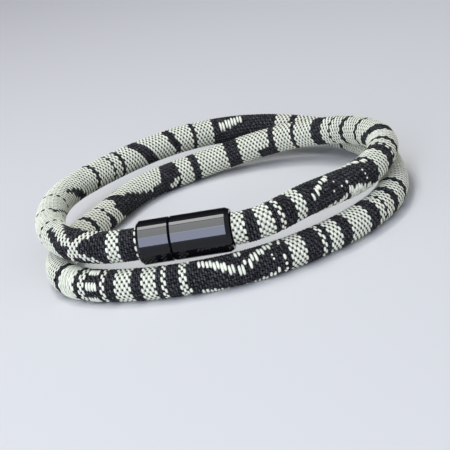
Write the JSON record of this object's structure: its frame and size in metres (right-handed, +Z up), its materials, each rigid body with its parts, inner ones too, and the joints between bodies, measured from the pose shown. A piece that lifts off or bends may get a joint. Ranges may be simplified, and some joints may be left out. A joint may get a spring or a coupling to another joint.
{
  "type": "rope bracelet",
  "caption": "Woven rope bracelet that wraps the wrist in a double loop and closes with a magnetic barrel clasp.",
  "frame": {"origin": "in the middle of the bracelet's outline, on the surface it lies on", "axes": "+Z up out of the surface, -Y to the front, where the clasp lies, +X along the clasp from its short half to its long half, turned 8 degrees"},
  "size_m": [0.0759, 0.0783, 0.0137],
  "materials": {
    "woven_cotton": "tight plain weave of off-white and black cotton yarn, in bands, rings and zigzags round the rope",
    "black_steel": "stainless steel with a black mirror-polished coating",
    "magnet_nickel": "bright nickel plating"
  },
  "bodies": {
    "root": {"woven_rope": "woven_cotton", "clasp_short_half": "black_steel", "clasp_long_half": "black_steel", "short_half_magnet": "magnet_nickel", "long_half_magnet": "magnet_nickel"}
  },
  "joints": []
}
